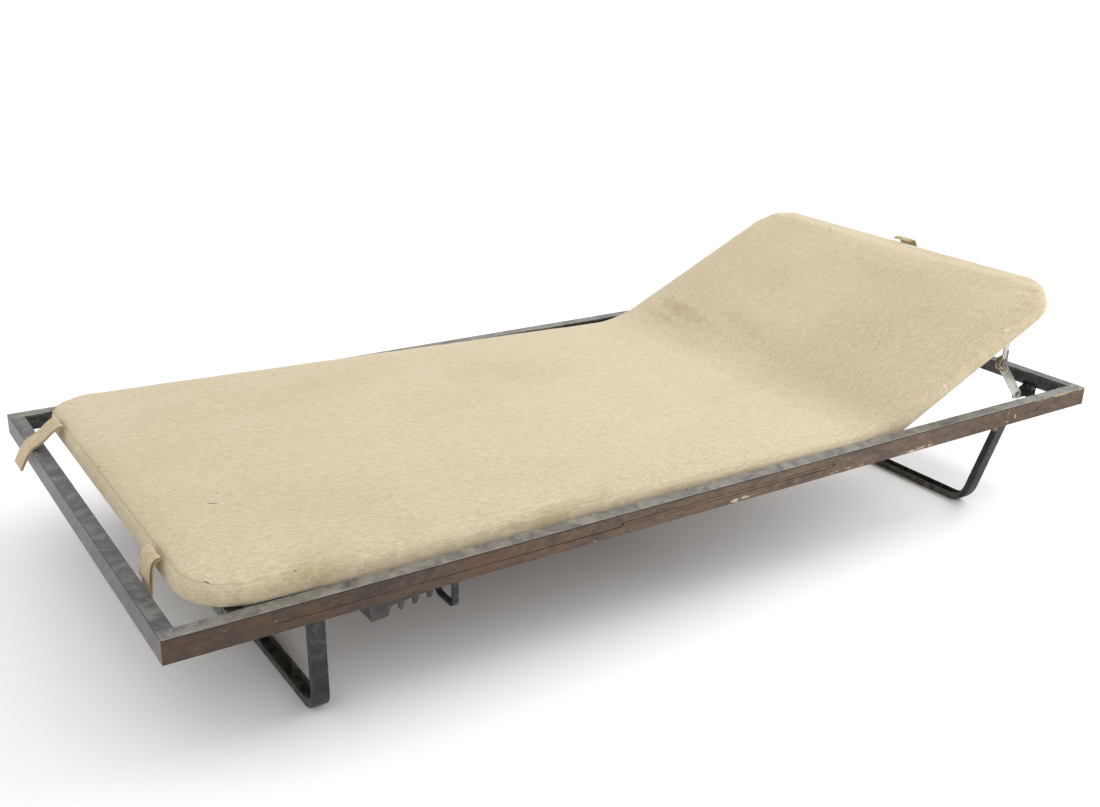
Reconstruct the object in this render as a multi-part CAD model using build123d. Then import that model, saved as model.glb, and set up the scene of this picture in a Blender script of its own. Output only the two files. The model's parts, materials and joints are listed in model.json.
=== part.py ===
from build123d import *

"""Ambulance cot: a low steel bed frame with a padded lying surface in two hinged sections.

Frame: origin on the floor under the middle of the whole object, +X towards the head end, +Y towards the
far side, +Z up, millimetres. The foot section lifts on two notched stays, and the head section is held up
by two folding ratchet stays. Both sections turn on one cross shaft.
"""
from math import atan2, cos, degrees, hypot, pi, radians, sin
import os

# ---- driving dimensions ----
FRAME_LENGTH = 2000.0
FRAME_WIDTH = 930.0
FRAME_TOP = 228.0
RAIL_DEPTH = 38.0
RAIL_FLANGE = 26.0
RAIL_WALL = 4.0
STRAP_REACH = 26.0
HOLE_RADIUS = 3.0
HOLE_PLACES = (160.0, 757.0, 1243.0, 1840.0)

HINGE_FROM_FOOT = 1412.0
HINGE_DROP = 56.0
FOOT_SLOPE = 1.5
HEAD_SLOPE = 24.5

PAD_WIDTH = 872.0
PAD_THICKNESS = 40.0
PAD_CORNER = 95.0
PAD_UNDERSIDE = 13.0
PAD_FOOT_END = 47.0
PAD_HEAD_REACH = 580.0
PAD_FOLD_GAP = 18.0

BOARD_THICKNESS = 5.0
BAR_LEG = 25.0
BAR_WALL = 3.0
SIDE_BAR_FROM_EDGE = 58.0
HEAD_BAR_FROM_EDGE = 80.0
END_BAR_FROM_EDGE = 30.0
BAR_FROM_FOOT = 104.0
HEAD_FRAME_REACH = 530.0
FOOT_CROSS_BARS = (-980.0, -660.0, -340.0, -60.0)
HEAD_CROSS_BARS = (40.0, 270.0)

LEG_WIDTH = 25.0
LEG_DEPTH = 14.0
LEG_WALL = 2.5
LEG_BEND = 50.0
LEG_INSET = 46.0
LEG_TOPS = (217.0, 1742.0)
LEG_LEAN = 24.0

SHAFT_RADIUS = 6.0
EYE_RADIUS = 10.0
RUNNING = 0.05
PIN_RADIUS = 4.0

STAY_PIVOT = (640.0, -37.0)
STAY_SLOPE = 7.0
STAY_THICKNESS = 5.0
STAY_FROM_EDGE = 44.0
NOTCH_PITCH = 24.7
NOTCH_DEPTH = 13.0
FIRST_TOOTH = 219.5
TIP_BELOW_PIVOT = 15.8
KEEPER_FROM_FOOT = 447.0
KEEPER_DROP = 82.0

ARM_FOOT = (1962.0, -54.0)
ARM_ELBOW = (1882.0, 36.0)
ARM_HEAD = (1890.0, 140.0)
ARM_FROM_EDGE = 128.0
ARM_THICKNESS = 3.0

WEBBING_WIDTH = 50.0
WEBBING_THICKNESS = 4.0

# ---- places worked out from them ----
FOOT_END = -(FRAME_LENGTH + STRAP_REACH) / 2 + STRAP_REACH
HEAD_END = FOOT_END + FRAME_LENGTH
HALF_WIDTH = FRAME_WIDTH / 2
RAIL_INNER = HALF_WIDTH - RAIL_WALL
RAIL_BOTTOM = FRAME_TOP - RAIL_DEPTH
HINGE = (FOOT_END + HINGE_FROM_FOOT, FRAME_TOP - HINGE_DROP)
BOARD_UNDERSIDE = PAD_UNDERSIDE - BOARD_THICKNESS
BAR_UNDERSIDE = BOARD_UNDERSIDE - BAR_LEG
SIDE_BAR_Y = HALF_WIDTH - SIDE_BAR_FROM_EDGE
END_BAR_Y = HALF_WIDTH - END_BAR_FROM_EDGE

NODES = {}


# ---- small helpers ----
def place(point):
    """(distance from the foot end, height from the frame's top) as the frame's own x and z."""
    return FOOT_END + point[0], FRAME_TOP + point[1]


def block(x, y, z):
    """A box from three (low, high) pairs."""
    size = (x[1] - x[0], y[1] - y[0], z[1] - z[0])
    return Pos((x[0] + x[1]) / 2, (y[0] + y[1]) / 2, (z[0] + z[1]) / 2) * Box(*size)


def cross_rod(x, z, radius, y):
    """A round bar along Y between y[0] and y[1]."""
    length = y[1] - y[0]
    return Pos(x, (y[0] + y[1]) / 2, z) * Rot(90, 0, 0) * Cylinder(radius, length)


def side_plate(outline, y):
    """A closed outline of (x, z) points, as a plate between y[0] and y[1]."""
    face = make_face(Polyline([(x, 0, z) for x, z in outline], close=True))
    return Pos(0, y[0], 0) * extrude(face, amount=y[1] - y[0], dir=(0, 1, 0))


def cross_angle(x, z_top, y, flange_towards=1):
    """A steel angle along Y: its flange is on top and its web hangs at x."""
    far_x = x + flange_towards * BAR_LEG
    web_x = x + flange_towards * BAR_WALL
    flange = block(sorted((x, far_x)), y, (z_top - BAR_WALL, z_top))
    return flange + block(sorted((x, web_x)), y, (z_top - BAR_LEG, z_top))


def link_plate(start, end, width, y, bore):
    """A flat bar with round ends and a bore at each end, from start to end in the XZ plane."""
    length = hypot(end[0] - start[0], end[1] - start[1])
    turn = degrees(atan2(end[1] - start[1], end[0] - start[0]))
    middle = ((start[0] + end[0]) / 2, (start[1] + end[1]) / 2)
    thickness = y[1] - y[0]
    bar = Pos(middle[0], (y[0] + y[1]) / 2, middle[1]) * Rot(0, -turn, 0) * Box(length, thickness, width)
    for x, z in (start, end):
        bar += cross_rod(x, z, width / 2, y)
    for x, z in (start, end):
        bar -= cross_rod(x, z, bore, (y[0] - 1, y[1] + 1))
    return bar


def other_side(shape):
    """The same piece on the far side of the cot."""
    return mirror(shape, about=Plane.XZ)


def both_sides(shape):
    return Compound(children=[*shape.solids(), *other_side(shape).solids()])


def on_section(shape, slope):
    """Moves a piece from the hinge's own axes, where it lies flat, to its place at rest."""
    return Pos(HINGE[0], 0, HINGE[1]) * Rot(0, slope, 0) * shape


def foot_piece(shape):
    return on_section(shape, FOOT_SLOPE)


def head_piece(shape):
    return on_section(shape, -HEAD_SLOPE)


def add(name, shape):
    NODES[name] = shape


# ---- outer frame ----
def rail_section(outer, inner_side):
    """The (across, up) outline of one angle rail: the web's outer face is at outer."""
    web = outer + inner_side * RAIL_WALL
    flange = outer + inner_side * RAIL_FLANGE
    under = FRAME_TOP - RAIL_WALL
    return [
        (outer, RAIL_BOTTOM),
        (web, RAIL_BOTTOM),
        (web, under),
        (flange, under),
        (flange, FRAME_TOP),
        (outer, FRAME_TOP),
    ]


def mitre(corners):
    """The plan outline that trims a rail to its 45 degree corners."""
    face = make_face(Polyline([(x, y, RAIL_BOTTOM - 1) for x, y in corners], close=True))
    return extrude(face, amount=RAIL_DEPTH + 2, dir=(0, 0, 1))


def long_rail():
    """The rail on the near side, with its row of four small fixing holes."""
    outline = [(FOOT_END, y, z) for y, z in rail_section(-HALF_WIDTH, 1)]
    bar = extrude(make_face(Polyline(outline, close=True)), amount=FRAME_LENGTH, dir=(1, 0, 0))
    reach = RAIL_FLANGE + 5
    near, inner = -HALF_WIDTH - 1, -HALF_WIDTH + reach
    corners = [
        (FOOT_END - 1, near),
        (HEAD_END + 1, near),
        (HEAD_END - reach, inner),
        (FOOT_END + reach, inner),
    ]
    bar = bar & mitre(corners)
    for distance in HOLE_PLACES:
        hole = cross_rod(FOOT_END + distance, RAIL_BOTTOM + RAIL_DEPTH / 2, HOLE_RADIUS, (near, near + 8))
        bar -= hole
    return bar


def end_rail(outer, inner_side):
    """The cross rail at the foot or head end."""
    outline = [(x, -HALF_WIDTH, z) for x, z in rail_section(outer, inner_side)]
    bar = extrude(make_face(Polyline(outline, close=True)), amount=FRAME_WIDTH, dir=(0, 1, 0))
    reach = RAIL_FLANGE + 5
    edge, inner = outer - inner_side, outer + inner_side * reach
    corners = [
        (edge, -HALF_WIDTH - 1),
        (edge, HALF_WIDTH + 1),
        (inner, HALF_WIDTH - reach),
        (inner, -HALF_WIDTH + reach),
    ]
    return bar & mitre(corners)


def leg_profile(inset):
    """The leg loop's outer line seen from the end, moved inwards by inset."""
    top = FRAME_TOP + 40
    foot = HALF_WIDTH - LEG_INSET
    outline = [
        (-RAIL_INNER, top),
        (-RAIL_INNER, RAIL_BOTTOM - 2),
        (-foot, 0),
        (foot, 0),
        (RAIL_INNER, RAIL_BOTTOM - 2),
        (RAIL_INNER, top),
    ]
    face = make_face(Polyline([(0, y, z) for y, z in outline], close=True))
    face = fillet(face.vertices().filter_by(lambda v: v.Z < RAIL_BOTTOM), LEG_BEND)
    if inset:
        face = offset(face, amount=-inset, kind=Kind.INTERSECTION)
    return extrude(face, amount=80, dir=(1, 0, 0), both=True)


def lean_slab(top_x, lean, width):
    """The slice of the leg loop seen from the side: upright at the floor bar, leaning above it."""
    low_x = top_x + lean
    half = width / 2
    top = FRAME_TOP - RAIL_WALL
    outline = [
        (low_x - half, -1),
        (low_x - half, LEG_DEPTH),
        (top_x - half, top),
        (top_x + half, top),
        (low_x + half, LEG_DEPTH),
        (low_x + half, -1),
    ]
    return side_plate(outline, (-HALF_WIDTH, HALF_WIDTH))


def leg(top_from_foot, lean):
    """One bent channel loop: down from the near rail, across the floor and up to the far rail."""
    top_x = FOOT_END + top_from_foot
    middle = Pos(top_x, 0, 0)
    band = middle * (leg_profile(0) - leg_profile(LEG_DEPTH))
    hollow = middle * (leg_profile(LEG_WALL) - leg_profile(LEG_DEPTH + 3))
    channel = band & lean_slab(top_x, lean, LEG_WIDTH)
    return channel - (hollow & lean_slab(top_x, lean, LEG_WIDTH - 2 * LEG_WALL))


def leg_lugs():
    """Small plates welded beside each leg's top, inside the rail."""
    lugs = []
    for top_from_foot, gap, drop in zip(LEG_TOPS, (2, 6), (-1, 9)):
        x = FOOT_END + top_from_foot - LEG_WIDTH / 2 - gap
        y = (-RAIL_INNER, -RAIL_INNER + 6)
        lugs.append(block((x - 12, x), y, (RAIL_BOTTOM - drop, RAIL_BOTTOM + 16)))
    return both_sides(Compound(children=lugs))


def hinge_bracket():
    """A cranked plate that carries the cross shaft below the near rail."""
    x, z = HINGE
    wall, plate, crank = -RAIL_INNER, 3.4, 24.0
    ear_y = (-HALF_WIDTH + 46, -HALF_WIDTH + 52)
    high, low = RAIL_BOTTOM + 1.6, z + PAD_UNDERSIDE - 0.4
    outline = [
        (wall, FRAME_TOP - 10),
        (wall + plate, FRAME_TOP - 10),
        (wall + plate, high),
        (wall + crank, low),
        (ear_y[1], low),
        (ear_y[1], z),
        (ear_y[0], z),
        (ear_y[0], low - plate),
        (wall + crank, low - plate),
        (wall, high - plate),
    ]
    face = make_face(Polyline([(x - 16, y, up) for y, up in outline], close=True))
    bracket = extrude(face, amount=32, dir=(1, 0, 0)) + cross_rod(x, z, 12, ear_y)
    return bracket - cross_rod(x, z, SHAFT_RADIUS + RUNNING, (ear_y[0] - 1, ear_y[1] + 1))


def hinge_shaft():
    end = HALF_WIDTH - 42
    return cross_rod(*HINGE, SHAFT_RADIUS, (-end, end))


def shaft_clip():
    """A spring clip that keeps the shaft in its brackets."""
    y = (-HALF_WIDTH + 44.2, -HALF_WIDTH + 45.7)
    ring = cross_rod(*HINGE, SHAFT_RADIUS + 2.6, y)
    return ring - cross_rod(*HINGE, SHAFT_RADIUS, (y[0] - 1, y[1] + 1))


def keeper():
    """The bent strap under the near rail that the notched stay rides on."""
    x, z = place((KEEPER_FROM_FOOT, -KEEPER_DROP))
    strap, wide = 5.0, 10.0
    outer, inner = -RAIL_INNER, -HALF_WIDTH + 62
    low, bend = z - strap / 2, 11.0
    outline = [(outer, FRAME_TOP - 8), (outer, low), (inner, low), (inner, low + 20)]
    line = FilletPolyline([(x, y, up) for y, up in outline], radius=bend)
    start = Plane(origin=(x, outer, FRAME_TOP - 8), x_dir=(1, 0, 0), z_dir=(0, 0, -1))
    return sweep(start * Pos(0, -strap / 2) * Rectangle(wide, strap), path=line)


def stop_ledge(x, bar_bottom):
    """A ledge inside the near rail under one end bar, and the rubber buffer on it."""
    y = (-RAIL_INNER, -HALF_WIDTH + 46)
    top = bar_bottom - 3.3
    ledge = block(x, y, (top - 3, top)) + block(x, (y[0], y[0] + 3), (top - 3, FRAME_TOP - 8))
    buffer = block((x[0] + 3, x[1] - 3), (y[1] - 14, y[1] - 2), (top, top + 3))
    return ledge, buffer


def stay_bracket():
    """The bracket on the head rail that holds the near folding stay's lower pin."""
    x, z = place(ARM_FOOT)
    inner = HEAD_END - RAIL_WALL
    ear_y = (-HALF_WIDTH + ARM_FROM_EDGE + 9, -HALF_WIDTH + ARM_FROM_EDGE + 13)
    ear = [(inner, z + 24), (x + 4, z + 12), (x + 4, z - 11), (inner, z - 11)]
    bracket = side_plate(ear, ear_y) + cross_rod(x, z, 11, ear_y)
    back_y = (ear_y[0] - 24, ear_y[1] + 6)
    bracket += block((inner - 3, inner), back_y, (z - 11, z + 24))
    return bracket - cross_rod(x, z, PIN_RADIUS, (ear_y[0] - 1, ear_y[1] + 1))


def stay_foot_pin():
    x, z = place(ARM_FOOT)
    edge = -HALF_WIDTH + ARM_FROM_EDGE
    pin = cross_rod(x, z, PIN_RADIUS, (edge + 4, edge + 14))
    return pin + cross_rod(x, z, PIN_RADIUS + 3, (edge + 2.6, edge + 5.2))


def bracket_screws():
    """Round-headed screws through the stay brackets into the head rail."""
    z = place(ARM_FOOT)[1] + 7
    inner = HEAD_END - RAIL_WALL - 3
    screws = []
    for y_from_edge in (ARM_FROM_EDGE - 9, ARM_FROM_EDGE + 3):
        head = Pos(inner - 1.5, -HALF_WIDTH + y_from_edge, z + 8) * Rot(0, 90, 0) * Cylinder(5, 3)
        screws.append(head)
    return both_sides(Compound(children=screws))


# ---- the two hinged sections, in the hinge's own axes ----
def side_bar(x, from_edge):
    """The near side bar: an angle with its flange on top, pointing inwards."""
    y = -HALF_WIDTH + from_edge
    web = block(x, (y, y + BAR_WALL), (BAR_UNDERSIDE, BOARD_UNDERSIDE))
    return web + block(x, (y, y + BAR_LEG), (BOARD_UNDERSIDE - BAR_WALL, BOARD_UNDERSIDE))


def hinge_eye(side_of_hinge, from_edge):
    """The ear that is welded to a side bar and turns on the cross shaft."""
    y = (-HALF_WIDTH + from_edge, -HALF_WIDTH + from_edge + 5)
    tail = sorted((0, side_of_hinge * 70))
    ear = block(tail, y, (-EYE_RADIUS, BOARD_UNDERSIDE - BAR_WALL)) + cross_rod(0, 0, EYE_RADIUS, y)
    return ear - cross_rod(0, 0, SHAFT_RADIUS + RUNNING, (y[0] - 1, y[1] + 1))


def rivet_holes(columns, rows):
    """Where the board is riveted to its side bars: the shanks, which also cut their holes."""
    low, high = BOARD_UNDERSIDE - BAR_WALL, PAD_UNDERSIDE
    middle = (low + high) / 2
    return [Pos(x, y, middle) * Cylinder(2.5, high - low) for x in columns for y in rows]


def rivets(columns, rows):
    """Rivets with a round head under the bar's flange, flush in the board's top."""
    made = []
    under = BOARD_UNDERSIDE - BAR_WALL
    for shank in rivet_holes(columns, rows):
        x, y = shank.center().X, shank.center().Y
        made.append(shank + Pos(x, y, under - 1) * Cylinder(5, 2))
    return Compound(children=[solid for rivet in made for solid in rivet.solids()])


def pad_solid(x, end):
    """A plain padded slab with two rounded outer corners at its end."""
    low, high = PAD_UNDERSIDE + 0.3, PAD_UNDERSIDE + PAD_THICKNESS
    half = PAD_WIDTH / 2
    slab = block(x, (-half, half), (low, high))
    corners = slab.edges().filter_by(Axis.Z).filter_by(lambda e: abs(e.center().X - end) < 1)
    slab = fillet(corners, PAD_CORNER)
    rims = slab.faces().sort_by(Axis.Z)[-1].edges()
    return fillet(rims, 10)


def foot_section():
    """The long section from the foot end to the cross shaft."""
    reach = (BAR_FROM_FOOT - HINGE_FROM_FOOT, -PAD_FOLD_GAP)
    side = side_bar(reach, SIDE_BAR_FROM_EDGE)
    side -= stay_pin_hole()
    end_x = reach[0]
    side -= block((end_x - 1, end_x + BAR_LEG), (-HALF_WIDTH, 0), (BAR_UNDERSIDE - 1, PAD_UNDERSIDE))
    end_bar = cross_angle(end_x, PAD_UNDERSIDE, (-END_BAR_Y, END_BAR_Y))
    inner = SIDE_BAR_Y - BAR_LEG
    cross = [cross_angle(x, BOARD_UNDERSIDE, (-inner, inner)) for x in FOOT_CROSS_BARS]
    columns = [end_x + 60 + k * (reach[1] - end_x - 90) / 5 for k in range(6)]
    rows = (-SIDE_BAR_Y + 14, SIDE_BAR_Y - 14)
    board = block((end_x + BAR_LEG, reach[1]), (-SIDE_BAR_Y, SIDE_BAR_Y), (BOARD_UNDERSIDE, PAD_UNDERSIDE))
    for shank in rivet_holes(columns, rows):
        board -= shank
    for shank in rivet_holes(columns, rows[:1]):
        side -= shank
    add("foot_side_bar_near", foot_piece(side))
    add("foot_side_bar_far", foot_piece(other_side(side)))
    add("foot_end_bar", foot_piece(end_bar))
    add("foot_cross_bars", foot_piece(Compound(children=cross)))
    add("foot_board", foot_piece(board))
    add("foot_board_rivets", foot_piece(rivets(columns, rows)))
    add("foot_hinge_eyes", foot_piece(both_sides(hinge_eye(-1, SIDE_BAR_FROM_EDGE + BAR_WALL))))
    pad_end = PAD_FOOT_END - HINGE_FROM_FOOT
    add("foot_pad", foot_piece(pad_solid((pad_end, -PAD_FOLD_GAP), pad_end)))


def head_section():
    """The short section that props up the head."""
    reach = (PAD_FOLD_GAP, HEAD_FRAME_REACH)
    from_edge = HEAD_BAR_FROM_EDGE
    side = side_bar(reach, from_edge)
    end_x = HEAD_FRAME_REACH
    side -= block((end_x - BAR_LEG, end_x + 1), (-HALF_WIDTH, 0), (BAR_UNDERSIDE - 1, PAD_UNDERSIDE))
    half = HALF_WIDTH - from_edge
    end_bar = cross_angle(end_x, PAD_UNDERSIDE, (-half, half), -1)
    inner = half - BAR_LEG
    cross = [cross_angle(x, BOARD_UNDERSIDE, (-inner, inner)) for x in HEAD_CROSS_BARS]
    columns = [reach[0] + 40 + k * (end_x - reach[0] - 90) / 3 for k in range(4)]
    rows = (-half + 14, half - 14)
    board = block((reach[0], end_x - BAR_LEG), (-half, half), (BOARD_UNDERSIDE, PAD_UNDERSIDE))
    for shank in rivet_holes(columns, rows):
        board -= shank
    for shank in rivet_holes(columns, rows[:1]):
        side -= shank
    add("head_side_bar_near", head_piece(side))
    add("head_side_bar_far", head_piece(other_side(side)))
    add("head_end_bar", head_piece(end_bar))
    add("head_cross_bars", head_piece(Compound(children=cross)))
    add("head_board", head_piece(board))
    add("head_board_rivets", head_piece(rivets(columns, rows)))
    add("head_hinge_eyes", head_piece(both_sides(hinge_eye(1, from_edge + BAR_WALL))))
    add("head_pad", head_piece(pad_solid((PAD_FOLD_GAP, PAD_HEAD_REACH), PAD_HEAD_REACH)))


# ---- notched stays for the foot section ----
def stay_pin_hole():
    """The hole for the notched stay's pin, in the foot section's own flat axes."""
    x, z = place(STAY_PIVOT)
    rod = cross_rod(x, z, PIN_RADIUS, (-HALF_WIDTH, -HALF_WIDTH + 80))
    return Rot(0, -FOOT_SLOPE, 0) * Pos(-HINGE[0], 0, -HINGE[1]) * rod


def stay_outline():
    """The notched stay as (towards the foot end, down) points from its pivot."""
    roof = TIP_BELOW_PIVOT - NOTCH_DEPTH
    top = roof - 13
    points = [(0, top), (0, roof)]
    for k in range(3):
        u = FIRST_TOOTH + k * NOTCH_PITCH
        points += [(u - 8, roof), (u - 2.5, TIP_BELOW_PIVOT), (u + 2.5, TIP_BELOW_PIVOT), (u + 3, roof)]
    u = FIRST_TOOTH + 3 * NOTCH_PITCH - 8
    low = TIP_BELOW_PIVOT + 2
    return points + [(u, roof), (u + 6, low), (u + 34, low), (u + 34, top)]


def from_stay(shape):
    x, z = place(STAY_PIVOT)
    return Pos(x, 0, z) * Rot(0, -STAY_SLOPE, 0) * shape


def notched_stay():
    """A flat bar with three hooked teeth and a solid end block along its lower edge."""
    y = (-HALF_WIDTH + STAY_FROM_EDGE, -HALF_WIDTH + STAY_FROM_EDGE + STAY_THICKNESS)
    plate = side_plate([(-u, -v) for u, v in stay_outline()], y) + cross_rod(0, 0, 11, y)
    soft = plate.edges().filter_by(Axis.Y).filter_by(lambda e: e.center().X < -FIRST_TOOTH + 10)
    plate = fillet(soft, 0.9)
    plate -= cross_rod(0, 0, PIN_RADIUS + RUNNING, (y[0] - 1, y[1] + 1))
    return from_stay(plate)


def stay_tie_bar():
    """The flat bar that joins the two notched stays, so that both sides lift together."""
    u = FIRST_TOOTH + 3 * NOTCH_PITCH + 26
    end = HALF_WIDTH - STAY_FROM_EDGE - STAY_THICKNESS
    low = -(TIP_BELOW_PIVOT + 2)
    return from_stay(block((-u, -u + 6), (-end, end), (low, low + 24)))


def stay_pin():
    """The headed pin that the notched stay swings on, and the spacer behind it."""
    x, z = place(STAY_PIVOT)
    edge = -HALF_WIDTH + STAY_FROM_EDGE
    pin = cross_rod(x, z, PIN_RADIUS, (edge - 1, -HALF_WIDTH + SIDE_BAR_FROM_EDGE + BAR_WALL + 2))
    return pin + cross_rod(x, z, PIN_RADIUS + 3, (edge - 3, edge - 0.2))


def stay_spacer():
    x, z = place(STAY_PIVOT)
    edge = -HALF_WIDTH + STAY_FROM_EDGE + STAY_THICKNESS
    y = (edge + 0.2, -HALF_WIDTH + SIDE_BAR_FROM_EDGE)
    return cross_rod(x, z, PIN_RADIUS + 3, y) - cross_rod(x, z, PIN_RADIUS, (y[0] - 1, y[1] + 1))


# ---- folding ratchet stays for the head section ----
def arm_y(start, thickness):
    """A layer across the folding stay, counted from its near face."""
    edge = -HALF_WIDTH + ARM_FROM_EDGE + start
    return edge, edge + thickness


def lower_arm():
    """The wide pressed arm from the head rail's bracket to the elbow."""
    foot, elbow = place(ARM_FOOT), place(ARM_ELBOW)
    y = arm_y(5.4, ARM_THICKNESS)
    arm = link_plate(foot, elbow, 22, y, PIN_RADIUS + RUNNING) + cross_rod(*elbow, 16, y)
    return arm


def ratchet_wheel():
    """The toothed wheel that is riveted to the lower arm at the elbow."""
    x, z = place(ARM_ELBOW)
    y = arm_y(2.9, 2.5)
    wheel = cross_rod(x, z, 15, y)
    teeth = 14
    for k in range(teeth):
        turn = 2 * pi * k / teeth
        wheel -= cross_rod(x + 15.4 * cos(turn), z + 15.4 * sin(turn), 2.0, (y[0] - 1, y[1] + 1))
    return wheel


def elbow_boss():
    """The rivet's formed end on the lower arm's far face."""
    return cross_rod(*place(ARM_ELBOW), 6, arm_y(8.4, 1.6))


def upper_arm():
    """The narrow arm from the elbow to the lug under the head section."""
    elbow, head = place(ARM_ELBOW), place(ARM_HEAD)
    y = arm_y(-1.0, ARM_THICKNESS)
    arm = link_plate(elbow, head, 16, y, PIN_RADIUS + RUNNING) + cross_rod(*elbow, 13, y)
    return arm - cross_rod(*elbow, PIN_RADIUS, (y[0] - 1, y[1] + 1))


def pawl_disc():
    """The brass disc with its nose that drops into the ratchet wheel."""
    x, z = place(ARM_ELBOW)
    y = arm_y(2.0, 0.6)
    disc = cross_rod(x, z, 17, y) + block((x + 2, x + 18), y, (z - 22, z - 6))
    return disc


def elbow_rivet():
    """The elbow's rivet head and shank, on the upper arm's side."""
    x, z = place(ARM_ELBOW)
    return cross_rod(x, z, PIN_RADIUS, arm_y(-1.0, 3.0)) + cross_rod(x, z, 7, arm_y(-3.2, 2.2))


def elbow_spring():
    """The torsion spring round the elbow's rivet, with one leg along the upper arm."""
    x, z = place(ARM_ELBOW)
    ring = Pos(x, arm_y(-2.1, 0)[0], z) * Rot(90, 0, 0) * Torus(9.2, 0.9)
    leg = Pos(x + 9.2, arm_y(-2.1, 0)[0], z + 14) * Cylinder(0.9, 28)
    return ring + leg


def stay_lug():
    """The plate under the head section's end bar that holds the upper arm's pin."""
    x, z = place(ARM_HEAD)
    y = arm_y(2.3, 4.0)
    eye = Rot(0, HEAD_SLOPE, 0) * Pos(-HINGE[0], 0, -HINGE[1]) * cross_rod(x, z, 9, y)
    middle = eye.center()
    upright = block((middle.X - 9, middle.X + 9), y, (middle.Z, PAD_UNDERSIDE - BAR_WALL))
    lug = head_piece(eye + upright)
    return lug - cross_rod(x, z, PIN_RADIUS, (y[0] - 1, y[1] + 1))


def stay_head_pin():
    x, z = place(ARM_HEAD)
    pin = cross_rod(x, z, PIN_RADIUS, arm_y(-1.4, 8.4))
    return pin + cross_rod(x, z, PIN_RADIUS + 3, arm_y(-3.4, 2.2))


# ---- webbing straps, as plain ribbons ----
def ribbon(points, y, radii):
    """A flat strap of webbing through (x, z) points, bent with the given radii."""
    line = FilletPolyline([(x, y, z) for x, z in points], radius=radii)
    first, second = Vector(points[0][0], 0, points[0][1]), Vector(points[1][0], 0, points[1][1])
    start = Plane(origin=(points[0][0], y, points[0][1]), x_dir=(0, 1, 0), z_dir=second - first)
    return sweep(start * Rectangle(WEBBING_WIDTH, WEBBING_THICKNESS), path=line)


def foot_strap_far():
    """The strap that lies over the foot rail and hangs outside it."""
    root = FOOT_END + PAD_FOOT_END - 2.5
    top = FRAME_TOP
    line = [(root, top + 26), (root - 24, top + 20), (FOOT_END - 2, top + 5), (FOOT_END - 22, top - 32)]
    return ribbon(line, 750 - HALF_WIDTH, [40, 34])


def foot_strap_near():
    """The strap that hangs down between the pad and the foot rail."""
    root = FOOT_END + PAD_FOOT_END - 2.5
    top = FRAME_TOP
    line = [(root, top + 26), (root - 11, top + 20), (root - 12, top - 36)]
    return ribbon(line, 185 - HALF_WIDTH, [9])


def head_strap():
    """The strap that lies down the pad's head edge."""
    edge = PAD_HEAD_REACH + WEBBING_THICKNESS / 2 + 0.5
    high = PAD_UNDERSIDE + PAD_THICKNESS
    line = [(edge, high + 1), (edge + 3, high - 14), (edge + 0.5, PAD_UNDERSIDE + 4)]
    return head_piece(ribbon(line, 468 - HALF_WIDTH, [18]))


# ---- assembly ----
def frame_nodes():
    rail = long_rail()
    add("near_rail", rail)
    add("far_rail", other_side(rail))
    add("foot_rail", end_rail(FOOT_END, 1))
    add("head_rail", end_rail(HEAD_END, -1))
    add("foot_leg", leg(LEG_TOPS[0], LEG_LEAN))
    add("head_leg", leg(LEG_TOPS[1], -LEG_LEAN))
    add("leg_lugs", leg_lugs())
    add("hinge_shaft", hinge_shaft())
    add("shaft_clips", both_sides(shaft_clip()))
    for name, made in (("hinge_bracket", hinge_bracket()), ("keeper", keeper()), ("stay_bracket", stay_bracket())):
        add(name + "_near", made)
        add(name + "_far", other_side(made))
    add("stay_foot_pins", both_sides(stay_foot_pin()))
    add("bracket_screws", bracket_screws())
    bar_x = FOOT_END + BAR_FROM_FOOT
    rise = (HINGE[0] - bar_x - BAR_LEG) * sin(radians(FOOT_SLOPE))
    ledge, buffer = stop_ledge((bar_x + 1, bar_x + 24), HINGE[1] + rise + PAD_UNDERSIDE - BAR_LEG)
    add("foot_stop_ledges", both_sides(ledge))
    add("foot_stop_buffers", both_sides(buffer))


def stay_nodes():
    stay = notched_stay()
    add("notched_stay_near", stay)
    add("notched_stay_far", other_side(stay))
    add("stay_tie_bar", stay_tie_bar())
    add("stay_pins", both_sides(stay_pin()))
    add("stay_spacers", both_sides(stay_spacer()))
    for name, made in (
        ("lower_arm", lower_arm()),
        ("ratchet_wheel", ratchet_wheel()),
        ("elbow_boss", elbow_boss()),
        ("upper_arm", upper_arm()),
        ("pawl_disc", pawl_disc()),
        ("elbow_rivet", elbow_rivet()),
        ("elbow_spring", elbow_spring()),
    ):
        add(name + "_near", made)
        add(name + "_far", other_side(made))
    add("stay_lugs", both_sides(stay_lug()))
    add("stay_head_pins", both_sides(stay_head_pin()))


def main():
    frame_nodes()
    foot_section()
    head_section()
    stay_nodes()
    add("foot_strap_far", foot_strap_far())
    add("foot_strap_near", foot_strap_near())
    add("head_strap", head_strap())
    os.makedirs("parts", exist_ok=True)
    for name, shape in NODES.items():
        export_step(shape, f"parts/{name}.step")


main()
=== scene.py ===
"""The looks of the ambulance cot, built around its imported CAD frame. Metres, +Z up, foot end towards -X."""

import json
from math import cos, pi, radians, sin

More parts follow.
